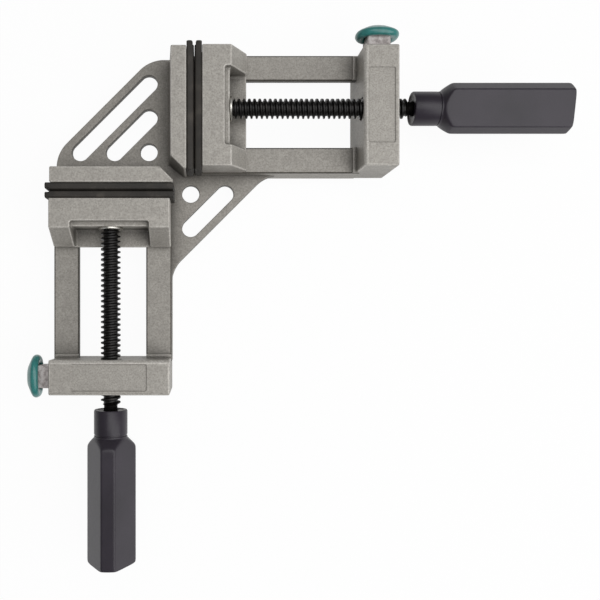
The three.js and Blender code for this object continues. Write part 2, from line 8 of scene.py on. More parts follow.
import bmesh
import bpy
import numpy as np
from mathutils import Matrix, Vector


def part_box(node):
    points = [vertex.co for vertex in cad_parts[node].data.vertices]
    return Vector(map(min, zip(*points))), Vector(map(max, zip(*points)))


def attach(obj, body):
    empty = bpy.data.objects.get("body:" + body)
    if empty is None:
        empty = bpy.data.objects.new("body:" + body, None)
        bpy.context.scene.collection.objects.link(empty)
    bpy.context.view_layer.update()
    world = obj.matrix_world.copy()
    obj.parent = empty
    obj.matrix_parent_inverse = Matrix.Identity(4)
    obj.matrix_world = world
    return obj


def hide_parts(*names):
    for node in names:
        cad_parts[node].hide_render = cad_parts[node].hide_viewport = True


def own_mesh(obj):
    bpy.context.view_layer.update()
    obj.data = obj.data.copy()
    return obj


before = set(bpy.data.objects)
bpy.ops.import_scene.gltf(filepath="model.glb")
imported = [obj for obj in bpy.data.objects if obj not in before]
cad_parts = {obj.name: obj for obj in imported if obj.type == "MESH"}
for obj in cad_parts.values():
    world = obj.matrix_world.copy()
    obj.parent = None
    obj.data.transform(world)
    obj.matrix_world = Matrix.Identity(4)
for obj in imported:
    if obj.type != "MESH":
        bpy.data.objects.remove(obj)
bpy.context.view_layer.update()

MM = 0.001
FULL_TURN = 2 * np.pi
VICES = ("right", "front")


# Places in a vice

def pad_crossing():
    """Where the planes between the two pairs of closed pads cross, in millimetres."""
    x = (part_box("right_fixed_jaw_pad")[1].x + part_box("right_moving_jaw_pad")[0].x) / 2
    y = (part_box("front_fixed_jaw_pad")[0].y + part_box("front_moving_jaw_pad")[1].y) / 2
    return x / MM, y / MM


CROSSING = pad_crossing()


def to_row(vice, points):
    """Vice coordinates in millimetres, as rows of u, v and z, to the part's frame in metres."""
    u, v, z = np.asarray(points, float).T
    if vice == "right":
        x, y = CROSSING[0] + u, CROSSING[1] + v
    else:
        x, y = CROSSING[0] - v, CROSSING[1] - u
    return np.stack([x, y, z], 1) * MM


def span(piece):
    """Lowest and highest u, v and z of a piece, read from the right vice's node, in millimetres."""
    low, high = (np.array(corner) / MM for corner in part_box(f"right_{piece}"))
    move = np.array([*CROSSING, 0])
    return low - move, high - move


def centre(piece):
    """The middle of a piece's box."""
    low, high = span(piece)
    return (low + high) / 2


SCREW_V, SCREW_Z = centre("thrust_washer")[1:]
BLOCK_U = centre("half_nut_slider")[0]
JAW_LOW, JAW_HIGH = span("moving_jaw")
NEAR, FAR = JAW_LOW[1], JAW_HIGH[1]
FIXED_FRONT = -JAW_LOW[0]


# Meshes from grids of points

def whole_turn(steps):
    """Even angles round a circle."""
    return np.arange(steps) * FULL_TURN / steps


def as_rows(u, v, z):
    """Grids of u, v and z as rows of points."""
    return np.stack(np.broadcast_arrays(u, v, z), -1).reshape(-1, 3)


def round_screw(u, radius, angle, sign=1):
    """Points round the screw's axis: v = middle + sign * radius * cos(a), z = middle + radius * sin(a)."""
    return as_rows(u, SCREW_V + sign * radius * np.cos(angle), SCREW_Z + radius * np.sin(angle))


def grid_faces(rows, columns, wrap_rows=False, shift=0):
    """Four-sided faces between neighbours in a grid of points that is numbered row by row. The last column
    joins the first, shift rows further on, as a screw does."""
    row, column = np.meshgrid(np.arange(rows if wrap_rows else rows - 1), np.arange(columns), indexing="ij")
    after = (column + 1) // columns
    side = (column + 1) % columns
    corners = [(row, column), (row + 1, column), (row + 1 + shift * after, side), (row + shift * after, side)]
    numbers = np.stack([(r % rows if wrap_rows else r) * columns + c for r, c in corners], -1)
    inside = np.all(numbers < rows * columns, -1)
    return numbers[inside].reshape(-1, 4).tolist()


def closed_tube(points, columns):
    """A grid of rings as points and faces, with one face across each end ring."""
    rows = len(points) // columns
    ends = [list(range(columns))[::-1], list(range((rows - 1) * columns, rows * columns))]
    return points, grid_faces(rows, columns) + ends


def turned(profile, columns=72, wrap_rows=False):
    """A profile of radius and distance pairs turned about the screw's axis."""
    radius, distance = np.array(profile, float).T
    points = round_screw(distance[:, None], radius[:, None], whole_turn(columns))
    return points, grid_faces(len(radius), columns, wrap_rows=wrap_rows)


def joined(*parts):
    """Several sets of points and faces as one set."""
    points, faces, count = [], [], 0
    for part_points, part_faces in parts:
        points.append(part_points)
        faces += [[count + number for number in face] for face in part_faces]
        count += len(part_points)
    return np.concatenate(points), faces


def filleted(corners, radii, steps=6):
    """An outline with rounded corners: each arc's centre lies radius / sin(half) along the bisector of its
    corner, and the arc runs between the points radius / tan(half) along the two sides."""
    corners = np.array(corners, float)
    outline = []
    for before, corner, after, radius in zip(np.roll(corners, 1, 0), corners, np.roll(corners, -1, 0),
                                             np.broadcast_to(radii, len(corners))):
        if radius == 0:
            outline.append(corner)
            continue
        back, on = before - corner, after - corner
        back, on = back / np.hypot(*back), on / np.hypot(*on)
        half = np.arccos(np.clip(back @ on, -1, 1)) / 2
        centre = corner + (back + on) / np.hypot(*(back + on)) * radius / np.sin(half)
        arm = corner + back * radius / np.tan(half) - centre
        turn = (np.pi - 2 * half) * np.sign(back[0] * on[1] - back[1] * on[0]) * -1
        for angle in np.linspace(0, turn, steps):
            cosine, sine = np.cos(angle), np.sin(angle)
            outline.append(centre + [arm[0] * cosine - arm[1] * sine, arm[0] * sine + arm[1] * cosine])
    return np.array(outline)


def circle(middle, radius, steps=48):
    """A round outline: middle + radius * (cos a, sin a)."""
    angle = whole_turn(steps)
    return np.array(middle) + radius * np.stack([np.cos(angle), np.sin(angle)], 1)


def inset(outline, distance):
    """An anticlockwise outline moved inwards: each corner goes distance * (m + n) / (1 + m . n), with m and
    n the inward normals of its two sides."""
    side = np.roll(outline, -1, 0) - outline
    normal = np.stack([-side[:, 1], side[:, 0]], 1) / np.hypot(*side.T)[:, None]
    before = np.roll(normal, 1, 0)
    return outline + distance * (before + normal) / (1 + np.sum(before * normal, 1, keepdims=True))


def rounded(low, high, low_round, high_round, steps=4):
    """Insets and heights of a slab with quarter circles round its two ends: inset = r * (1 - cos a), and the
    height falls short of the end by r * (1 - sin a). A radius below zero flares the end out instead."""
    angle = np.linspace(0, np.pi / 2, steps)
    foot = np.stack([low_round * (1 - np.sin(angle)), low + abs(low_round) * (1 - np.cos(angle))], 1)
    head = np.stack([high_round * (1 - np.cos(angle)), high - abs(high_round) * (1 - np.sin(angle))], 1)
    return np.concatenate([foot if low_round else [[0, low]], head if high_round else [[0, high]]])


def flared(low, high, low_flare, high_flare):
    """The same for a cutter, which leaves rounded rims and reaches a little beyond the metal."""
    beyond = 1.5
    return np.concatenate([[[-low_flare, low - beyond]], rounded(low, high, -low_flare, -high_flare),
                           [[-high_flare, high + beyond]]])


def lofted(outline, profile, order="uvz"):
    """A closed solid: the outline lies in the first two directions of order and is inset and raised along
    the third by each step of the profile."""
    outline = np.asarray(outline, float)
    after = np.roll(outline, -1, 0)
    if np.sum(outline[:, 0] * after[:, 1] - outline[:, 1] * after[:, 0]) < 0:
        outline = outline[::-1]
    rings = np.concatenate([np.column_stack([inset(outline, step), np.full(len(outline), height)])
                            for step, height in profile])
    points = rings[:, [order.index(axis) for axis in "uvz"]]
    return closed_tube(points, len(outline))


def bar(outline, start, end, order="uzv"):
    """A closed solid with the same outline from start to end."""
    return lofted(outline, [[0, start], [0, end]], order)


def oblong(low, high, radii=0):
    """A rectangle between two corners, rounded."""
    return filleted([low, (high[0], low[1]), high, (low[0], high[1])], radii)


# Objects

SEAM = 1e-3 * MM
CAD_SEAM = 2e-3 * MM


def add_object(name, data):
    """A new object in the scene, at the origin."""
    made = bpy.data.objects.new(name, data)
    bpy.context.scene.collection.objects.link(made)
    return made


@contextmanager
def edited(mesh):
    """Opens a mesh for editing and writes it back."""
    work = bmesh.new()
    work.from_mesh(mesh)
    yield work
    work.to_mesh(mesh)
    work.free()


def shade_smooth(mesh, soft_angle):
    """Smooth shading that keeps only corners above the angle sharp."""
    mesh.polygons.foreach_set("use_smooth", np.ones(len(mesh.polygons), bool))
    mesh.set_sharp_from_angle(angle=np.radians(soft_angle))


def finish_mesh(mesh, soft_angle):
    """Merges doubles, turns the faces outwards and shades the mesh smooth."""
    with edited(mesh) as work:
        bmesh.ops.remove_doubles(work, verts=work.verts, dist=SEAM)
        bmesh.ops.recalc_face_normals(work, faces=work.faces)
    shade_smooth(mesh, soft_angle)


def raw_object(name, vice, shape):
    """A plain object from points in vice coordinates and their faces, which it turns outwards."""
    points, faces = shape
    mesh = bpy.data.meshes.new(name)
    mesh.from_pydata(to_row(vice, points), [], faces)
    with edited(mesh) as work:
        bmesh.ops.recalc_face_normals(work, faces=work.faces)
    return add_object(name, mesh)


def merged_copy(node, name):
    """A plain copy of a CAD node with its loose triangles merged."""
    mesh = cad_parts[node].data.copy()
    mesh.name = name
    mesh.materials.clear()
    with edited(mesh) as work:
        bmesh.ops.remove_doubles(work, verts=work.verts, dist=CAD_SEAM)
    return add_object(name, mesh)


def place_piece(piece, body, node, slot):
    """Gives a finished object the materials of its slot and its body, and hides the CAD node that it stands
    for.
    """
    for material in FINISHES[slot]:
        piece.data.materials.append(material)
    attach(piece, body)
    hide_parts(node)
    return piece


def new_piece(vice, name, shape, body, node, slot, soft_angle=35):
    """A finished piece of one vice, from points in its coordinates and their faces."""
    piece = raw_object(f"{vice}_{name}", vice, shape)
    finish_mesh(piece.data, soft_angle)
    return place_piece(piece, body if body == "frame" else f"{vice}_{body}", f"{vice}_{node}", slot)


# Cast pieces, whose edges the mould and the tumbling round

OUTSIDE_ROUND = 0.7
INSIDE_ROUND = 1.6
ROUNDING_SHARE = 0.42
ROUNDED_BEND = np.radians(30)
FLAT_BEND = np.radians(0.5)
PARALLEL = 0.8


def edge_rounding(edge):
    """The radius in millimetres that suits an edge of a casting: none on a flat or gently turning
    joint, a small one outside and a larger one inside, and never more than its neighbours leave."""
    if len(edge.link_faces) != 2 or abs(edge.calc_face_angle_signed(0)) < ROUNDED_BEND:
        return 0
    wanted = OUTSIDE_ROUND if edge.is_convex else INSIDE_ROUND
    along = (edge.verts[1].co - edge.verts[0].co).normalized()
    for corner in edge.verts:
        for other in corner.link_edges:
            if other is edge:
                continue
            way = other.other_vert(corner).co - corner.co
            if abs(way.normalized().dot(along)) < PARALLEL:
                wanted = min(wanted, ROUNDING_SHARE * way.length / MM)
    return wanted


def cast_copy(node, name):
    """A copy of a CAD node with its loose triangles merged, its flat faces joined and its edges rounded."""
    piece = merged_copy(node, name)
    with edited(piece.data) as work:
        bmesh.ops.dissolve_degenerate(work, edges=work.edges, dist=CAD_SEAM)
        bmesh.ops.dissolve_limit(work, angle_limit=FLAT_BEND, verts=work.verts, edges=work.edges)
        weights = work.edges.layers.float.new("bevel_weight_edge")
        for edge in work.edges:
            edge[weights] = edge_rounding(edge) / INSIDE_ROUND
    shade_smooth(piece.data, 30)
    rounding = piece.modifiers.new("cast rounding", "BEVEL")
    rounding.width = INSIDE_ROUND * MM
    rounding.segments = 3
    rounding.limit_method = "WEIGHT"
    rounding.use_clamp_overlap = False
    rounding.harden_normals = True
    rounding.miter_outer = "MITER_ARC"
    return piece


# Materials

def linear(hex_colour):
    """An sRGB hex colour as linear red, green, blue and alpha."""
    parts = np.array([int(hex_colour[i:i + 2], 16) for i in (1, 3, 5)]) / 255
    parts = np.where(parts <= 0.04045, parts / 12.92, ((parts + 0.055) / 1.055) ** 2.4)
    return (*parts.tolist(), 1.0)


def feed(tree, node, inputs):
    """Sets a node's inputs, by name or number, each to a constant or to a link from a node or socket."""
    for key, value in inputs.items():
        if isinstance(value, bpy.types.Node):
            value = next(socket for socket in value.outputs if socket.enabled)
        socket = node.inputs[key] if isinstance(key, int) else next(
            each for each in node.inputs if each.enabled and each.name == key)
        if isinstance(value, bpy.types.NodeSocket):
            tree.links.new(value, socket)
        else:
            socket.default_value = value


def add_node(tree, kind, inputs=None, stops=(), **settings):
    """Adds a node with its settings and inputs. Stops are the places and sRGB colours of a colour ramp."""
    node = tree.nodes.new(kind)
    for key, value in settings.items():
        setattr(node, key, value)
    feed(tree, node, inputs or {})
    for number, (where, colour) in enumerate(stops):
        points = node.color_ramp.elements
        if number >= len(points):
            points.new(1.0)
        points[number].position = where
        points[number].color = linear(colour)
    return node


def new_material(name, **constants):
    """An empty material: its tree, its shader with constants set on the sockets, and object coordinates."""
    material = bpy.data.materials.new(name)
    material.use_nodes = True
    tree = material.node_tree
    shader = tree.nodes["Principled BSDF"]
    for key, value in constants.items():
        shader.inputs[key.replace("_", " ")].default_value = value
    place = add_node(tree, "ShaderNodeTexCoord").outputs["Object"]
    return material, tree, shader, place


def per_metre(size_mm):
    """The scale of a pattern whose feature is so many millimetres across."""
    return 1 / (size_mm * MM)


def finish_with(tree, shader, colour, grain, matt, shiny, depth_mm):
    """Links a colour, and a grain that roughens its pits to matt, smooths its peaks to shiny and stands up
    from the surface by a depth in millimetres."""
    rough = add_node(tree, "ShaderNodeMapRange", {"Value": grain, "From Min": 0.3, "From Max": 0.7,
                                                  "To Min": matt, "To Max": shiny})
    raised = add_node(tree, "ShaderNodeBump", {"Height": grain, "Distance": depth_mm * MM})
    feed(tree, shader, {"Base Color": colour, "Roughness": rough, "Normal": raised})


def grain_and_patches(tree, place, grain_mm, patch_mm, stops):
    """A fine grain, and a colour that drifts from patch to patch."""
    grain = add_node(tree, "ShaderNodeTexNoise", {"Vector": place, "Scale": per_metre(grain_mm)})
    patches = add_node(tree, "ShaderNodeTexNoise", {"Vector": place, "Scale": per_metre(patch_mm)})
    return grain, add_node(tree, "ShaderNodeValToRGB", {"Fac": patches}, stops)


def with_painted_hollow_shade(tree, colour, dark, reach_mm, shut, clear, fullest):
    """Paints shade into a colour in hollows: not at all where the open share of the surroundings within
    reach is clear or more, and to the fullest where it is shut or less."""
    air = add_node(tree, "ShaderNodeAmbientOcclusion", {"Distance": reach_mm * MM}, samples=8,
                   only_local=True)
    hollow = add_node(tree, "ShaderNodeMapRange", {"Value": air.outputs["AO"], "From Min": shut,
                                                   "From Max": clear, "To Min": fullest, "To Max": 0})
    # The dark colour mixed in here is painted shade.
    return add_node(tree, "ShaderNodeMix", {"Factor": hollow, "A": colour, "B": linear(dark)},
                    data_type="RGBA")


def die_cast_aluminium(name, dark, middle, light, reach_mm, fullest):
    """Die-cast aluminium, shot-blasted and clear lacquered: a warm matt grey whose small pits and peened
    grains catch the light, with faint clouds where the metal cooled at different rates. Painted shade
    darkens the colour towards the bottom, most on the plate down between the jaws, and painted shade
    darkens the hollows and inner corners. The grain is drawn 0.9 mm across, about three times coarser
    than blasting leaves it, so that it shows."""
    material, tree, shader, place = new_material(name, Metallic=0.25)
    grain = add_node(tree, "ShaderNodeTexNoise", {"Vector": place, "Scale": per_metre(0.9), "Detail": 4,
                                                  "Roughness": 0.7})
    cloud = add_node(tree, "ShaderNodeTexNoise", {"Vector": place, "Scale": per_metre(5), "Detail": 3})
    speckle = add_node(tree, "ShaderNodeValToRGB", {"Fac": grain},
                       [(0.36, dark), (0.5, middle), (0.64, light)])
    share = add_node(tree, "ShaderNodeMapRange", {"Value": cloud, "From Min": 0.4, "From Max": 0.7,
                                                  "To Min": 0, "To Max": 0.4})
    clouded = add_node(tree, "ShaderNodeMix", {"Factor": share, "A": speckle, "B": linear(dark)},
                       data_type="RGBA")
    # Painted shade: darker towards the bottom, most on the plate down between the jaws.
    height = add_node(tree, "ShaderNodeSeparateXYZ", {0: place}).outputs["Z"]
    low = add_node(tree, "ShaderNodeMapRange", {"Value": height, "From Min": 10 * MM, "From Max": 32 * MM,
                                                "To Min": 0.3, "To Max": 0})
    low_shaded = add_node(tree, "ShaderNodeMix", {"Factor": low, "A": clouded, "B": linear("#5F5B54")},
                     data_type="RGBA")
    # Painted shade in the hollows and inner corners.
    colour = with_painted_hollow_shade(tree, low_shaded, "#2E2B26", reach_mm, 0.3, 0.95, fullest)
    finish_with(tree, shader, colour, grain, 0.62, 0.44, 0.035)
    return material


def moulded_rubber():
    """Pads of moulded thermoplastic rubber: near black and matt, with a fine mould grain and a little
    pale dust in it. The grain is drawn 0.7 mm across, about three times coarser than it is, so that it
    shows."""
    material, tree, shader, place = new_material("moulded_rubber", IOR=1.5)
    grain, colour = grain_and_patches(tree, place, 0.7, 9,
                                      [(0.35, "#24211D"), (0.6, "#2E2A25"), (0.75, "#3F3A34")])
    finish_with(tree, shader, colour, grain, 0.72, 0.6, 0.05)
    return material


def black_oxide_steel():
    """Rolled screw steel, black oxide finished and oiled: nearly black with soft highlights along the
    flanks, in patches a little paler where the oxide is thin. The grain is drawn 0.6 mm across, about three
    times coarser than it is, so that it breaks the highlights."""
    material, tree, shader, place = new_material("black_oxide_steel", Metallic=0.5)
    grain, colour = grain_and_patches(tree, place, 0.6, 5,
                                      [(0.3, "#0F0E0E"), (0.6, "#171514"), (0.8, "#24201E")])
    finish_with(tree, shader, colour, grain, 0.42, 0.3, 0.02)
    return material


def zinc_plated_steel():
    """Pressed steel, zinc plated and passivated: bright silver with a faint warm cast, clouded. The grain
    is drawn 0.8 mm across, coarser than the plating's own, so that it breaks the highlights."""
    material, tree, shader, place = new_material("zinc_plated_steel", Metallic=1.0)
    grain, colour = grain_and_patches(tree, place, 0.8, 4, [(0.35, "#B9B6AE"), (0.65, "#D0CEC8")])
    finish_with(tree, shader, colour, grain, 0.38, 0.24, 0.015)
    return material


def moulded_polyamide():
    """Grips of moulded polyamide with a spark-eroded mould finish: nearly black with a violet cast, satin, so
    that its flats take a grey sheen from the room, with a fine even grain. It is drawn 0.55 mm across, about
    four times coarser than it is, so that it shows."""
    material, tree, shader, place = new_material("moulded_polyamide", IOR=1.53, Specular_IOR_Level=0.4)
    grain, colour = grain_and_patches(tree, place, 0.55, 22, [(0.3, "#241F28"), (0.7, "#2E2832")])
    finish_with(tree, shader, colour, grain, 0.42, 0.34, 0.03)
    return material


def moulded_abs():
    """Buttons of moulded ABS in teal: a smooth, fairly glossy skin whose tone drifts over a few millimetres,
    with painted shade in the hollow behind the cap."""
    material, tree, shader, place = new_material("moulded_abs", IOR=1.54, Coat_Weight=0.2, Coat_Roughness=0.2)
    tone = add_node(tree, "ShaderNodeTexNoise", {"Vector": place, "Scale": per_metre(3)})
    skin = add_node(tree, "ShaderNodeValToRGB", {"Fac": tone}, [(0.3, "#28726E"), (0.7, "#31807C")])
    # Painted shade in the hollow behind the cap.
    colour = with_painted_hollow_shade(tree, skin, "#082422", 6, 0.35, 0.9, 0.95)
    finish_with(tree, shader, colour, tone, 0.36, 0.28, 0.04)
    return material


def tumbled_zinc():
    """The slider, die-cast in zinc and tumbled: pale silver grey, satin, with shallow dents about 1.8 mm
    across, their real size."""
    material, tree, shader, place = new_material("tumbled_zinc", Metallic=0.35)
    grain = add_node(tree, "ShaderNodeTexNoise", {"Vector": place, "Scale": per_metre(1.8), "Detail": 3})
    colour = add_node(tree, "ShaderNodeValToRGB", {"Fac": grain},
                      [(0.35, "#9C9492"), (0.5, "#B9B1AF"), (0.62, "#CBC5C3")])
    finish_with(tree, shader, colour, grain, 0.55, 0.42, 0.06)
    return material


FINISHES = {
    "casting": [die_cast_aluminium("blasted_aluminium", "#918D87", "#A5A19A", "#B2AEA7", 12, 0.8),
                # Edge wear with a painted highlight: a lighter copy of the metal for rounded edges that face
                # the light.
                die_cast_aluminium("edge_wear_and_highlight_aluminium", "#ABA7A0", "#BFBBB4", "#CFCCC6", 3, 1.0),
                # Painted shade: a dark copy of the metal for the walls of slots and windows and the edges of
                # the rails.
                die_cast_aluminium("painted_shade_aluminium", "#37332D", "#45413A", "#544F47", 6, 0.6)],
    "pad": [moulded_rubber()],
    "black_steel": [black_oxide_steel()],
    "bright_steel": [zinc_plated_steel()],
    "dark_plastic": [moulded_polyamide()],
    "teal_plastic": [moulded_abs()],
    "slider_grey": [tumbled_zinc()],
}
# The casting's finishes: plain metal, edge wear with a painted highlight, and painted shade.
PLAIN, WEAR_AND_HIGHLIGHT, PAINTED_SHADE = range(3)


# The casting, cut and joined from rounded solids

CAST_TOP = 40.0
FOOT_ROUND = 0.3
LAP = 1.0

RAIL_TOP = 17.5
RAIL_WIDTH = 15.0
RAIL_WALL = 3.5
RAIL_ROUND = 0.8
FLANGE_FOOT = 13.0
FLANGE_ROUND = 0.6
NEAR_STANDOUT = 0.3
FAR_STANDOUT = 1.0
FAR_SIDE = FAR + FAR_STANDOUT
WINDOW_NEAR, WINDOW_FAR = NEAR + RAIL_WIDTH, FAR_SIDE - RAIL_WIDTH
BRIDGE_LENGTH = 7.5

JAW_DEPTH = 8.95
JAW_DRAFT = 2.4
JAW_CORNER = 7.5
JAW_ROUNDS = [1.5, 1.2, 0.85, 0.9, 0.9]
JAW_TOP_ROUND = 0.75
JAW_NEAR = NEAR - 1.7
JAW_FAR = FAR - 0.5
JAW_COVE = 2.2
COVE_SINK = 0.1
COVE_STOP = 0.6
KEY_DEPTH = 2.3
KEY_FOOT, KEY_HEAD = 25.7, 32.3
KEY_ENDS = (1.0, 1.8)

HALF_BLOCK = 10.05
BLOCK_FRONT, BLOCK_BACK = BLOCK_U - HALF_BLOCK, BLOCK_U + HALF_BLOCK
BLOCK_ROUND = 1.0
BLOCK_TOP_ROUND = 1.1
BLOCK_BROW = 2.3
STEP_REACH = 2.3
STEP_TOP = 19.3
STEP_ROUNDS = (0.4, 0, 0, 0.9)
STEP_END = 0.2
TUNNEL_GAP = 0.3
TUNNEL_WALL = 6.0
TUNNEL_ROUND = 0.8
TUNNEL_FLARE = 0.6
BORE_RADIUS = 6.5
BORE_FLARE = 0.7
HOLLOW_WALL = 3.0
HOLLOW_ROUND = 2.0
HOLLOW_TOP_ROUND = 1.0
PANEL_HALF = 21.5
PANEL_MARGIN = 2.25
PANEL_DEPTH = 0.5
PANEL_ROUND = 1.2

WEB_TOP = 10.5
WEB_FOOT = 5.5
WEB_ROUNDS = (0.4, 0.6)
WEB_LAP = 3.1
WEB_DIAGONAL = 111.0
WEB_CORNER = 21.0
WEB_ARC_STEPS = 20
INNER_DIAGONAL = 29.8
INNER_FILLET = 20.0
SLOT_WIDTH = 10.5
SLOT_PITCH = 20.8
SLOT_FLARES = (0.4, 0.5)
SLOT_CAP_STEPS = 25
OUTER_SLOTS = (27.7, 3)
INNER_SLOTS = (2.35, 2)


def vice_solids():
    """The solids that one vice adds to the casting: fixed jaw, end block, rails, bridge, steps and a cove.
    Neighbours reach into each other, so that they join cleanly."""
    back = FIXED_FRONT - JAW_DEPTH
    plan = filleted([(back, JAW_NEAR + JAW_CORNER), (back + JAW_CORNER, JAW_NEAR), (FIXED_FRONT, JAW_NEAR),
                     (FIXED_FRONT, JAW_FAR), (back, JAW_FAR)], JAW_ROUNDS)
    jaw_points, jaw_faces = lofted(plan, rounded(0, CAST_TOP, FOOT_ROUND, JAW_TOP_ROUND))
    lean = JAW_DRAFT * (1 - jaw_points[:, 2] / CAST_TOP)
    jaw_points[:, 0] -= lean * (jaw_points[:, 0] - FIXED_FRONT) / (back - FIXED_FRONT)
    block = lofted(oblong((BLOCK_FRONT, NEAR), (BLOCK_BACK, FAR), BLOCK_ROUND),
                   rounded(0, CAST_TOP, FOOT_ROUND, BLOCK_TOP_ROUND))
    solids = [(jaw_points, jaw_faces), block]
    for side, wall, flange in ((NEAR - NEAR_STANDOUT, NEAR + RAIL_WALL, WINDOW_NEAR),
                               (FAR_SIDE, FAR_SIDE - RAIL_WALL, WINDOW_FAR)):
        outline = filleted([(side, 0), (wall, 0), (wall, FLANGE_FOOT), (flange, FLANGE_FOOT),
                            (flange, RAIL_TOP), (side, RAIL_TOP)],
                           [FOOT_ROUND, FOOT_ROUND, INSIDE_ROUND, FLANGE_ROUND, RAIL_ROUND, RAIL_ROUND])
        solids.append(bar(outline, FIXED_FRONT - LAP, BLOCK_FRONT + 2 * LAP, "vzu"))
    bridge = oblong((FIXED_FRONT - LAP, FLANGE_FOOT), (FIXED_FRONT + BRIDGE_LENGTH, RAIL_TOP),
                    (0, FLANGE_ROUND, FLANGE_ROUND, 0))
    solids.append(bar(bridge, NEAR + LAP, FAR - LAP))
    step = oblong((BLOCK_FRONT - STEP_REACH, RAIL_TOP - LAP), (BLOCK_FRONT + LAP, STEP_TOP), STEP_ROUNDS)
    for start, end in ((NEAR, WINDOW_NEAR - STEP_END), (WINDOW_FAR + STEP_END, FAR)):
        solids.append(bar(step, start, end))
    foot = back - JAW_DRAFT * (1 - WEB_TOP / CAST_TOP)
    solids.append(cove((foot + COVE_SINK, WEB_TOP), JAW_COVE, (-1, 1),
                       (JAW_NEAR + JAW_CORNER, JAW_FAR - COVE_STOP)))
    return solids


def cove(corner, radius, way, length):
    """Metal that fills an inner corner: its face is a quarter circle, corner + way * radius * (1 - cos a,
    1 - sin a)."""
    inside = 0.4
    angle = np.linspace(0, np.pi / 2, 7)
    arc = np.array(corner) + np.array(way) * radius * np.stack([1 - np.cos(angle), 1 - np.sin(angle)], 1)
    away = np.array(corner) - np.array(way) * inside
    outline = np.concatenate([arc, [[arc[-1][0], away[1]], away, [away[0], arc[0][1]]]])
    return bar(outline, *length)


def vice_cutters():
    """What is cut out of one vice: the groove for the pad's key, and the block's tunnel, bore, hollow,
    panel and brow."""
    slider_low, slider_high = span("half_nut_slider")
    floor, roof = slider_low[2] - TUNNEL_GAP, slider_high[2] + TUNNEL_GAP
    groove = bar(oblong((FIXED_FRONT - KEY_DEPTH, KEY_FOOT), (FIXED_FRONT + LAP, KEY_HEAD)),
                 NEAR + KEY_ENDS[0], FAR - KEY_ENDS[1])
    inner_end = NEAR + TUNNEL_WALL
    tunnel = lofted(oblong((slider_low[0] - TUNNEL_GAP, floor), (slider_high[0] + TUNNEL_GAP, roof),
                           TUNNEL_ROUND),
                    np.concatenate([[[0, inner_end]], flared(inner_end + 2 * LAP, FAR, 0, TUNNEL_FLARE)[1:]]),
                    "uzv")
    bore = lofted(circle((SCREW_V, SCREW_Z), BORE_RADIUS),
                  flared(BLOCK_FRONT, BLOCK_BACK, BORE_FLARE, BORE_FLARE), "vzu")
    ceiling = floor - HOLLOW_WALL
    hollow = lofted(oblong((BLOCK_FRONT + HOLLOW_WALL, NEAR + RAIL_WALL),
                           (BLOCK_BACK - HOLLOW_WALL, FAR - RAIL_WALL), HOLLOW_ROUND),
                    [[-FOOT_ROUND, -LAP], [0, FOOT_ROUND], [0, ceiling - HOLLOW_TOP_ROUND],
                     [HOLLOW_TOP_ROUND, ceiling]])
    panel = lofted(oblong((BLOCK_FRONT + PANEL_MARGIN, SCREW_V - PANEL_HALF),
                          (BLOCK_BACK - PANEL_MARGIN, SCREW_V + PANEL_HALF), PANEL_ROUND),
                   [[PANEL_DEPTH, CAST_TOP - PANEL_DEPTH], [0, CAST_TOP - 0.1], [-0.2, CAST_TOP + LAP]])
    brow = cove((BLOCK_FRONT, CAST_TOP), BLOCK_BROW, (1, -1), (NEAR - LAP, FAR + LAP))
    return [groove, tunnel, bore, hollow, panel, brow]


def web_solids():
    """The slotted plate, drawn about the point where the planes between the pads cross."""
    inside, start = NEAR - WEB_LAP, WEB_DIAGONAL - FAR_SIDE
    outer = filleted([(-inside, inside), (-inside, FAR_SIDE), (-start, FAR_SIDE), (-FAR_SIDE, start),
                      (-FAR_SIDE, inside)], [0, 0, WEB_CORNER, WEB_CORNER, 0], WEB_ARC_STEPS)
    over, meet = NEAR + WEB_LAP, NEAR + INNER_DIAGONAL
    reach = meet + 2 * INNER_FILLET
    inner = filleted([(-over, over), (-over, -reach), (-NEAR, -reach), (-NEAR, -meet), (meet, NEAR),
                      (reach, NEAR), (reach, over)],
                     [0, 0, 0, INNER_FILLET, INNER_FILLET, 0, 0], WEB_ARC_STEPS)
    profile = rounded(WEB_FOOT, WEB_TOP, *WEB_ROUNDS)
    return [lofted(outer, profile), lofted(inner, profile)]


def web_cutters():
    """The slots: each runs at 45 degrees between two round ends that step along both vices, and the first
    of a row is a round hole."""
    cutters = []
    profile = flared(WEB_FOOT, WEB_TOP, *SLOT_FLARES)
    angle = np.linspace(-np.pi / 2, np.pi / 2, SLOT_CAP_STEPS)
    cap = SLOT_WIDTH / 2 * np.stack([np.cos(angle), np.sin(angle)], 1)
    for (place, count), way in ((OUTER_SLOTS, 1), (INNER_SLOTS, -1)):
        cutters.append(lofted(circle((-place, place), SLOT_WIDTH / 2), profile))
        for i in range(1, count):
            step = way * i * SLOT_PITCH
            ends = np.array([[-place, place + step], [-place - step, place]])
            along = (ends[1] - ends[0]) / np.hypot(*(ends[1] - ends[0]))
            turn = np.array([along, [-along[1], along[0]]])
            cutters.append(lofted(np.concatenate([ends[1] + cap @ turn, ends[0] - cap @ turn]), profile))
    return cutters


def settle(piece):
    """Makes a piece's modifiers part of its mesh."""
    made = bpy.data.meshes.new_from_object(piece.evaluated_get(bpy.context.evaluated_depsgraph_get()))
    made.materials.clear()
    piece.modifiers.clear()
    piece.data = made


def combine(base, tool, operation):
    """Joins another object to the base object, cuts it out or keeps what both share, and deletes it."""
    step = base.modifiers.new(operation, "BOOLEAN")
    step.operation = operation
    step.solver = "MANIFOLD"
    step.object = tool
    settle(base)
    bpy.data.objects.remove(tool)


WIDEST_EDGE = 0.75
BENT = 0.1
FACING = 0.3


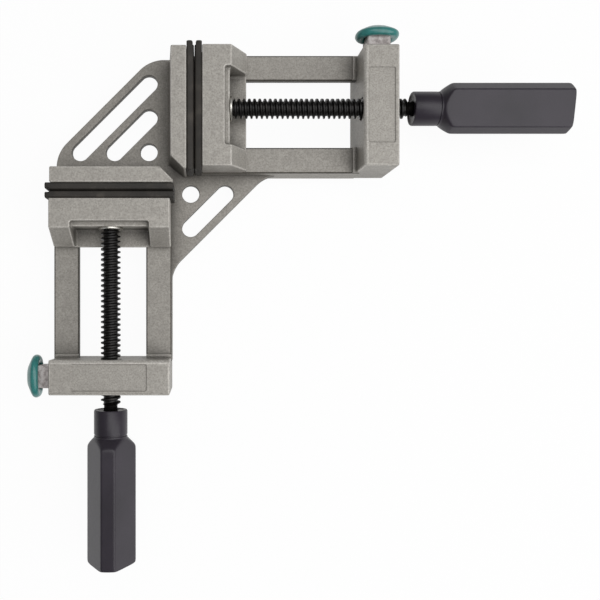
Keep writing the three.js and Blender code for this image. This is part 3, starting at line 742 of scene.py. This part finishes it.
def sort_finishes(mesh):
    """Chooses the finish of each face. A narrow strip, by area / longest side, that bends only outwards is
    an edge: up on the jaws and blocks it gets edge wear and a painted highlight, save on their far sides,
    and along the rails painted shade. An upright face within the heights of plate and flanges is the wall
    of a slot or window, and gets painted shade."""
    with edited(mesh) as work:
        for face in work.faces:
            longest = max(edge.calc_length() for edge in face.edges)
            width = face.calc_area() / longest / MM
            bends = [edge.calc_face_angle_signed(0) for edge in face.edges
                     if edge.calc_length() > longest / 2]
            heights = [corner.co.z / MM for corner in face.verts]
            middle = face.calc_center_median() / MM
            right_vice = middle.x - CROSSING[0] + middle.y - CROSSING[1] > 0
            faces_far = (face.normal.y if right_vice else -face.normal.x) > FACING
            on_rail = max(heights) < RAIL_TOP + 0.1
            above_flange = min(heights) > FLANGE_FOOT + 1
            # Edges that face the light get the painted highlight; rail edges and low upright walls get painted
            # shade.
            if width < WIDEST_EDGE and max(bends) > BENT and min(bends) > -BENT and above_flange:
                face.material_index = PAINTED_SHADE if on_rail else PLAIN if faces_far else WEAR_AND_HIGHLIGHT
            elif on_rail and abs(face.normal.z) < FACING and min(heights) > WEB_FOOT - 0.1:
                face.material_index = PAINTED_SHADE


def finish_casting(piece):
    """Evens the shading of a casting's faces and gives each its finish."""
    finish_mesh(piece.data, 38)
    sort_finishes(piece.data)
    evened = piece.modifiers.new("flat faces lead", "WEIGHTED_NORMAL")
    evened.keep_sharp = True


def frame_casting():
    """The casting: its solids joined, then its hollows cut out."""
    first, *others = web_solids()
    casting = raw_object("clamp_body", "right", first)
    work = [("right", shape, "UNION") for shape in others]
    work += [(vice, shape, "UNION") for vice in VICES for shape in vice_solids()]
    work += [(vice, shape, "DIFFERENCE") for vice in VICES for shape in vice_cutters()]
    work += [("right", shape, "DIFFERENCE") for shape in web_cutters()]
    for vice, shape, operation in work:
        combine(casting, raw_object("tool", vice, shape), operation)
    casting.data.name = "clamp_body"
    finish_casting(casting)
    place_piece(casting, "frame", "frame_casting", "casting")


STEP_CLEARANCE = 0.2
GROOVE_COVER = 1.0
GROOVE_SETBACK = 0.06


def jaw_changes():
    """What the moving jaw has beyond its CAD shape: metal that closes both ends of the pad's groove, and a
    relief under its back edge that clears the steps of the rails when the jaw is fully open."""
    closing = oblong((JAW_LOW[0] + GROOVE_SETBACK, KEY_FOOT - GROOVE_COVER),
                     (JAW_LOW[0] + KEY_DEPTH + GROOVE_COVER, KEY_HEAD + GROOVE_COVER))
    for start, end in ((NEAR + GROOVE_SETBACK, NEAR + KEY_ENDS[0]),
                       (FAR - KEY_ENDS[1], FAR - GROOVE_SETBACK)):
        yield bar(closing, start, end), "UNION"
    relief = oblong((JAW_HIGH[0] - STEP_REACH + STEP_CLEARANCE, RAIL_TOP - LAP),
                    (JAW_HIGH[0] + LAP, STEP_TOP + STEP_CLEARANCE))
    for start, end in ((NEAR - LAP, WINDOW_NEAR), (WINDOW_FAR, FAR + LAP)):
        yield bar(relief, start, end), "DIFFERENCE"


def moving_jaw(vice):
    """The moving jaw, from its CAD shape."""
    jaw = cast_copy(f"{vice}_moving_jaw", f"{vice}_sliding_jaw")
    settle(jaw)
    for shape, operation in jaw_changes():
        combine(jaw, raw_object("tool", vice, shape), operation)
    finish_casting(jaw)
    place_piece(jaw, f"{vice}_jaw", f"{vice}_moving_jaw", "casting")


# Pads

RIB_PITCH = 1.8
RIB_DEPTH = 0.3
PAD_LIP = 1.0
PAD_LIP_HEIGHT = 2.4
PAD_EASE = 0.8
PAD_NEAR_SETBACK = 0.8
PAD_KEY = 2.0
PAD_KEY_FOOT, PAD_KEY_HEAD = 26.0, 32.0
PAD_KEY_START = 1.2
PAD_KEY_STOP = 2.0
KEY_RISE = 0.02
TAB_LENGTH = 2.6
TAB_SETBACK = 0.7
TAB_SLOPE = 0.3
PAD_END_ROUND = 0.4
PAD_END_STEP = 0.12


def pad_section(set_back, key_depth):
    """The pad's outline in u and z: a back with its key, rounded corners, and a front face waved by ribs:
    u = face + depth / 2 * (1 - cos(turns of z / pitch))."""
    low, high = span("moving_jaw_pad")
    fixed_low, fixed_high = span("fixed_jaw_pad")
    face = low[0] + set_back
    foot, top = low[2], high[2]
    back = low[0] + fixed_high[0] - fixed_low[0] - PAD_KEY
    corner = np.linspace(0, np.pi / 2, 6)
    z = np.linspace(foot + PAD_LIP, top - PAD_LIP_HEIGHT, 97)
    wave = face + RIB_DEPTH / 2 * (1 - np.cos(FULL_TURN * (z - foot) / RIB_PITCH))
    foot_corner = np.stack([face + PAD_LIP * (1 - np.sin(corner)), foot + PAD_LIP * (1 - np.cos(corner))], 1)
    top_corner = np.stack([face + PAD_LIP * (1 - np.cos(corner)),
                           top - PAD_LIP_HEIGHT * (1 - np.sin(corner))], 1)
    back_line = [[back - PAD_EASE, top], [back, top - PAD_EASE], [back, PAD_KEY_HEAD],
                 [back + key_depth, PAD_KEY_HEAD], [back + key_depth, PAD_KEY_FOOT], [back, PAD_KEY_FOOT],
                 [back, foot + PAD_EASE], [back - PAD_EASE, foot]]
    return np.concatenate([foot_corner, np.stack([wave, z], 1), top_corner, back_line])


def pad_shape(facing):
    """The section carried along v and inset round both ends. The key stops inside the jaw, and past the
    jaw's far side the pad steps back from the work to a narrower tab."""
    low, high = span("moving_jaw_pad")
    start, end = low[1] + PAD_NEAR_SETBACK, high[1]
    key_start, key_end, tab = NEAR + PAD_KEY_START, FAR - PAD_KEY_STOP, end - TAB_LENGTH
    stations = [(start, 0, 0, PAD_END_ROUND), (start + PAD_END_STEP, 0, 0, PAD_END_STEP),
                (start + PAD_END_ROUND, 0, 0, 0),
                (key_start, 0, 0, 0), (key_start + KEY_RISE, 0, PAD_KEY, 0),
                (key_end, 0, PAD_KEY, 0), (key_end + KEY_RISE, 0, 0, 0),
                (tab, 0, 0, 0), (tab + TAB_SLOPE, TAB_SETBACK, 0, 0),
                (end - PAD_END_ROUND, TAB_SETBACK, 0, 0), (end - PAD_END_STEP, TAB_SETBACK, 0, PAD_END_STEP),
                (end, TAB_SETBACK, 0, PAD_END_ROUND)]
    rings = []
    for place, set_back, key_depth, round_in in stations:
        section = pad_section(set_back, key_depth)
        middle = (section.min(0) + section.max(0)) / 2
        section = middle + (section - middle) * (1 - round_in / (np.ptp(section, axis=0) / 2))
        rings.append(np.column_stack([section[:, 0] * facing, np.full(len(section), place), section[:, 1]]))
    return closed_tube(np.concatenate(rings), len(rings[0]))


def pads(vice):
    """A pad on the moving jaw and, facing it, one on the fixed jaw."""
    for facing, node, body in ((1, "moving_jaw_pad", "jaw"), (-1, "fixed_jaw_pad", "frame")):
        new_piece(vice, f"{node}_rubber", pad_shape(facing), body, node, "pad")


# The spindle

THREAD_PITCH = 3.0
THREAD_ROOT = 4.1
CREST_WIDTH = 0.9
FLANK_WIDTH = 0.5
THREAD_FADE = 1.2
THREAD_START_GAP = 0.1
THREAD_STOP = 2.8
THREAD_COLUMNS = 48
THREAD_ROWS = 14
JOURNAL_RADIUS = 3.8
GROOVE_RADIUS = 3.0
GROOVE_GAP = 0.4
NECK_RADIUS = 3.9
POINT_CHAMFER = 0.5


def thread_shape(vice):
    """A rolled trapezoid thread as one skin of angle a and place k: u = middle + pitch * (k + a / turn),
    and the radius steps smoothly from root to crest across each flank. The ends fade into the core."""
    sign = 1 if vice == "right" else -1
    outer = (span("spindle")[1][2] - span("spindle")[0][2]) / 2
    start = span("thrust_washer")[1][0] + THREAD_START_GAP
    end = span("handle")[0][0] - THREAD_STOP
    turns = np.arange(np.floor((start - BLOCK_U) / THREAD_PITCH) - 1,
                      np.ceil((end - BLOCK_U) / THREAD_PITCH) + 1)
    share = np.arange(THREAD_ROWS) / THREAD_ROWS - 0.5
    offset = (turns[:, None] + share).ravel() * THREAD_PITCH
    from_crest = np.abs(np.tile(share, len(turns))) * THREAD_PITCH
    rise = np.clip((CREST_WIDTH / 2 + FLANK_WIDTH - from_crest) / FLANK_WIDTH, 0, 1)
    rise = rise * rise * (3 - 2 * rise)
    angle = whole_turn(THREAD_COLUMNS)
    u = BLOCK_U + offset[:, None] + THREAD_PITCH * angle / FULL_TURN
    fade = np.clip(np.minimum(u - start, end - u) / THREAD_FADE, 0, 1)
    radius = THREAD_ROOT + (outer - THREAD_ROOT) * rise[:, None] * fade
    points = round_screw(np.clip(u, start, end), radius, angle, sign)
    return points, grid_faces(len(offset), THREAD_COLUMNS, shift=THREAD_ROWS), (start, end)


def spindle(vice):
    """The screw: a journal with the clip's groove, the thread, and a neck that goes into the grip."""
    tip, back = span("spindle")[0][0], span("spindle")[1][0]
    clip_low, clip_high = span("retaining_clip")[0][0] - GROOVE_GAP, span("retaining_clip")[1][0] + GROOVE_GAP
    points, faces, (start, end) = thread_shape(vice)
    journal = [[0, tip], [JOURNAL_RADIUS - POINT_CHAMFER, tip], [JOURNAL_RADIUS, tip + POINT_CHAMFER],
               [JOURNAL_RADIUS, clip_low], [GROOVE_RADIUS, clip_low],
               [GROOVE_RADIUS, clip_high], [JOURNAL_RADIUS, clip_high],
               [JOURNAL_RADIUS, start - 2 * THREAD_START_GAP], [THREAD_ROOT, start]]
    neck = [[THREAD_ROOT, end], [NECK_RADIUS, end + 0.3], [NECK_RADIUS, back - POINT_CHAMFER],
            [NECK_RADIUS - POINT_CHAMFER, back], [0, back]]
    shape = joined(turned(journal, THREAD_COLUMNS), (points, faces), turned(neck, THREAD_COLUMNS))
    new_piece(vice, "screw", shape, "screw", "spindle", "black_steel", 50)


# The grip

GRIP_FLAT = 10.5
GRIP_EDGE = 14.26
GRIP_SHARPNESS = 70
GRIP_COLUMNS = 192
GRIP_END = 1.8
END_INSET = 1.2
END_BULGE = 3.0
RIGHT_LEAN = np.radians(12.7)
COLLAR_RADIUS = 9.65
COLLAR_LENGTH = 15.8
SHOULDER_SHARPNESS = 24
GRIP_BORE = THREAD_ROOT + 0.3
GRIP_BORE_DEPTH = 30.3


def grip_shape(vice):
    """A three-sided grip with its edges cut flat. The section is a smooth polygon: one over the radius
    to the power p is the sum over the sides of max(0, cos(a - side) / distance) to the power p. The
    same power sum joins it to the turned envelope of collar, 45-degree shoulder and end."""
    start, end = span("handle")[0][0], span("handle")[1][0]
    sign = 1 if vice == "right" else -1
    angle = whole_turn(GRIP_COLUMNS)
    total = np.zeros_like(angle)
    for side in range(6):
        reach = GRIP_FLAT if side % 2 == 0 else GRIP_EDGE
        facing = np.maximum(np.cos(angle - side * FULL_TURN / 6), 0)
        total += facing ** GRIP_SHARPNESS / reach ** GRIP_SHARPNESS
    section = total ** (-1 / GRIP_SHARPNESS)

    shoulder = start + COLLAR_LENGTH
    u = np.concatenate([np.linspace(shoulder - 0.6, shoulder + 8.5, 40),
                        np.linspace(shoulder + 9, end - GRIP_END - 0.3, 30),
                        end - GRIP_END * (1 - np.sin(np.linspace(0, np.pi / 2, 14)))])
    envelope = np.minimum(COLLAR_RADIUS + np.maximum(u - shoulder, 0), 3 * np.hypot(GRIP_EDGE, GRIP_FLAT))
    closing = np.clip((end - u) / GRIP_END, 0, 1)
    limit = GRIP_EDGE - END_INSET + END_BULGE * np.sqrt(1 - (1 - closing) ** 2)
    envelope = np.where(u > end - GRIP_END, limit, envelope)
    power = SHOULDER_SHARPNESS
    radius = (section[None, :] ** -power + envelope[:, None] ** -power) ** (-1 / power)
    radius[-1] *= 0.97
    collar = np.array([[GRIP_BORE, 1.0], [GRIP_BORE + 0.6, 0.25], [7.4, 0.25], [7.8, 0], [9.3, 0],
                       [COLLAR_RADIUS, 0.6], [COLLAR_RADIUS, 13.9], [COLLAR_RADIUS - 0.5, 14.1],
                       [COLLAR_RADIUS - 0.5, 14.8], [COLLAR_RADIUS, 15.0]])
    rows = np.repeat(collar[:, :1], GRIP_COLUMNS, 1)
    radius = np.concatenate([rows, radius, np.zeros((1, GRIP_COLUMNS))])
    u = np.concatenate([start + collar[:, 1], u, [end]])

    turn = angle + (np.pi / 2 + RIGHT_LEAN if vice == "right" else -np.pi / 2)
    points = round_screw(u[:, None], radius, turn, sign)
    bore_end = start + GRIP_BORE_DEPTH
    bore = turned([[GRIP_BORE, start + 1.0], [GRIP_BORE, bore_end], [0, bore_end]], GRIP_COLUMNS)
    return joined((points, grid_faces(len(u), GRIP_COLUMNS)), bore)


def grip(vice):
    """A moulded grip with its collar, on the end of the screw."""
    new_piece(vice, "grip", grip_shape(vice), "screw", "handle", "dark_plastic", 40)


# The release button

BUTTON_COLUMNS = 96
OVAL_POWER = 0.85


def button_shape():
    """An oval cap: rings u = half length * share * c(a), z = half height * share * s(a), with c and s the
    cosine and sine raised to a power a little under one, at heights that follow the flat crown, the
    sloping shoulders, the thick lip and the hollow inside it."""
    low, high = span("release_button")
    middle, half = (low + high) / 2, (high - low) / 2
    crown, rim = high[1], low[1]
    profile = [[0, crown], [0.42, crown], [0.47, crown - 0.06], [0.52, crown - 0.3], [0.7, crown - 1.35],
               [0.88, crown - 2.5], [0.95, crown - 3.1], [0.985, crown - 3.7], [1.0, crown - 4.5],
               [0.99, crown - 5.3], [0.95, rim + 0.7], [0.9, rim + 0.2], [0.84, rim], [0.7, rim + 0.1],
               [0.62, rim + 0.5], [0.58, rim + 1.2], [0.56, rim + 2.6], [0.5, rim + 3.0], [0, rim + 3.0]]
    share, height = np.array(profile).T
    angle = whole_turn(BUTTON_COLUMNS)
    cosine = np.sign(np.cos(angle)) * np.abs(np.cos(angle)) ** OVAL_POWER
    sine = np.sign(np.sin(angle)) * np.abs(np.sin(angle)) ** OVAL_POWER
    u = middle[0] + half[0] * share[:, None] * cosine
    z = middle[2] + half[2] * share[:, None] * sine
    return as_rows(u, height[:, None], z), grid_faces(len(share), BUTTON_COLUMNS)


def button(vice):
    """A push button on the end of the slider's stem."""
    new_piece(vice, "push_button", button_shape(), "release", "release_button", "teal_plastic", 60)


# Small steel pieces

WASHER_BORE = 4.1
WASHER_EDGE = 0.25


def washer(vice):
    """A plain washer with broken edges."""
    low, high = span("thrust_washer")
    outer = (high[2] - low[2]) / 2
    inside, outside = WASHER_BORE + WASHER_EDGE, outer - WASHER_EDGE
    below, above = low[0] + WASHER_EDGE, high[0] - WASHER_EDGE
    ring = [[WASHER_BORE, below], [inside, low[0]], [outside, low[0]], [outer, below],
            [outer, above], [outside, high[0]], [inside, high[0]], [WASHER_BORE, above]]
    new_piece(vice, "washer", turned(ring, wrap_rows=True), "jaw", "thrust_washer", "bright_steel")


def copied_pieces(vice):
    """Pieces whose CAD shape is right: their edges are eased, and they get their own metal."""
    for node, name, slot in (("retaining_clip", "fork_clip", "bright_steel"),
                             ("guide_plate", "keeper_plate", "bright_steel"),
                             ("inner_guide_screw", "inner_keeper_screw", "black_steel"),
                             ("outer_guide_screw", "outer_keeper_screw", "black_steel")):
        piece = cast_copy(f"{vice}_{node}", f"{vice}_{name}")
        place_piece(piece, f"{vice}_jaw", f"{vice}_{node}", slot)


# The slider

STEM_STEP = 4.0
STEM_SHOULDER = 1.5
SLIDER_ROUND = 0.7
SLIDER_SKIN = 0.02


def slider(vice):
    """The half nut and stem: the CAD solid, kept inside a loft of its own outline with rounded edges."""
    low, high = span("half_nut_slider")
    shoulder = FAR - STEM_SHOULDER
    outline = filleted([(low[1], low[2]), (shoulder, low[2]), (shoulder, low[2] + STEM_STEP),
                        (high[1], low[2] + STEM_STEP), (high[1], high[2] - STEM_STEP),
                        (shoulder, high[2] - STEM_STEP), (shoulder, high[2]), (low[1], high[2])],
                       [0.8, 0.6, 0.4, 0.6, 0.6, 0.4, 0.6, 0.8])
    profile = rounded(low[0] + SLIDER_SKIN, high[0] - SLIDER_SKIN, SLIDER_ROUND, SLIDER_ROUND)
    profile = profile + [SLIDER_SKIN, 0]
    piece = raw_object(f"{vice}_nut_slider", vice, lofted(outline, profile, "vzu"))
    combine(piece, merged_copy(f"{vice}_half_nut_slider", "tool"), "INTERSECT")
    finish_mesh(piece.data, 35)
    place_piece(piece, f"{vice}_release", f"{vice}_half_nut_slider", "slider_grey")


# The return spring

WIRE = 0.55
COILS = 6
COIL_STEPS = 28
WIRE_SIDES = 10


def spring_shape():
    """A wire wound about v: its middle line is u = middle + r * cos(a), z = middle + r * sin(a) and
    v = start + rise * a."""
    low, high = span("return_spring")
    middle = (low + high) / 2
    along = np.linspace(0, 1, COILS * COIL_STEPS + 1)
    angle = FULL_TURN * COILS * along
    around = whole_turn(WIRE_SIDES)
    ring = (high[0] - low[0]) / 2 - WIRE + WIRE * np.cos(around)
    u = middle[0] + np.outer(np.cos(angle), ring)
    z = middle[2] + np.outer(np.sin(angle), ring)
    v = low[1] + WIRE + (high[1] - low[1] - 2 * WIRE) * along[:, None] + WIRE * np.sin(around)
    return closed_tube(as_rows(u, v, z), WIRE_SIDES)


def spring(vice):
    """The return spring at its rest length, on a mesh of its own; pressing the button would shorten it."""
    wire = new_piece(vice, "coil_spring", spring_shape(), "frame", "return_spring", "bright_steel")
    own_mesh(wire)


# The photograph's camera, the floor and the light

CAMERA_HEIGHT = 455
CAMERA_X, CAMERA_Y = -56.15, -9.85
MM_PER_PIXEL = 0.6216
PHOTO_PIXELS = 600
SENSOR = 36
NADIR_X, NADIR_Y = 200, 312
FLOOR_HALF = 6
FLOOR_GLOW = 0.95
ROOM_LIGHT = 0.27


def photo_camera():
    """Straight above, and shifted so that the point under the camera lies where the photo has it."""
    data = bpy.data.cameras.new("photo_camera")
    data.sensor_width = SENSOR
    data.lens = SENSOR * CAMERA_HEIGHT / (MM_PER_PIXEL * PHOTO_PIXELS)
    data.shift_x = 0.5 - NADIR_X / PHOTO_PIXELS
    data.shift_y = NADIR_Y / PHOTO_PIXELS - 0.5
    camera = add_object("photo_camera", data)
    camera.location = (CAMERA_X * MM, CAMERA_Y * MM, CAMERA_HEIGHT * MM)
    bpy.context.scene.camera = camera


def pale_floor():
    """A matt white board. Seen by the camera it is white, less the object's shadow."""
    half = FLOOR_HALF
    mesh = bpy.data.meshes.new("floor")
    mesh.from_pydata([(-half, -half, 0), (half, -half, 0), (half, half, 0), (-half, half, 0)], [],
                     [(0, 1, 2, 3)])
    floor = add_object("floor", mesh)
    material, tree, shader, _ = new_material("white_board", Roughness=0.9, Base_Color=linear("#F7F7F7"))
    glow = add_node(tree, "ShaderNodeEmission", {"Color": (1, 1, 1, 1), "Strength": 1.0})
    ray = add_node(tree, "ShaderNodeLightPath").outputs
    seen = add_node(tree, "ShaderNodeMath", {0: ray["Is Camera Ray"], 1: ray["Is Glossy Ray"]},
                    operation="MAXIMUM")
    seen = add_node(tree, "ShaderNodeMath", {0: seen, 1: ray["Is Transmission Ray"]}, operation="MAXIMUM")
    share = add_node(tree, "ShaderNodeMath", {0: seen, 1: FLOOR_GLOW}, operation="MULTIPLY")
    mix = add_node(tree, "ShaderNodeMixShader", {0: share, 1: shader, 2: glow})
    feed(tree, tree.nodes["Material Output"], {"Surface": mix})
    floor.data.materials.append(material)


def soft_light(name, place, size, watts):
    """A square studio lamp that faces the middle of the clamp."""
    data = bpy.data.lights.new(name, "AREA")
    data.size = size
    data.energy = watts
    lamp = add_object(name, data)
    lamp.location = place
    lamp.rotation_mode = "QUATERNION"
    lamp.rotation_quaternion = (-lamp.location).to_track_quat("-Z", "Y")


def studio():
    """The camera, the floor, two soft lamps and an even white room that lights the rest."""
    photo_camera()
    pale_floor()
    soft_light("key_light", (0.85, -0.4, 1.0), 1.4, 12)
    soft_light("top_light", (0.1, 0.3, 1.6), 1.1, 8)
    world = bpy.data.worlds.new("studio")
    world.use_nodes = True
    tree = world.node_tree
    camera_ray = add_node(tree, "ShaderNodeLightPath").outputs["Is Camera Ray"]
    strength = add_node(tree, "ShaderNodeMapRange", {"Value": camera_ray, "To Min": ROOM_LIGHT,
                                                     "To Max": 1.0})
    feed(tree, tree.nodes["Background"], {"Color": (1, 1, 1, 1), "Strength": strength})
    bpy.context.scene.world = world
    bpy.context.scene.view_settings.view_transform = "Standard"


studio()
frame_casting()
for make in (moving_jaw, pads, spindle, grip, button, washer, copied_pieces, slider, spring):
    for vice in VICES:
        make(vice)
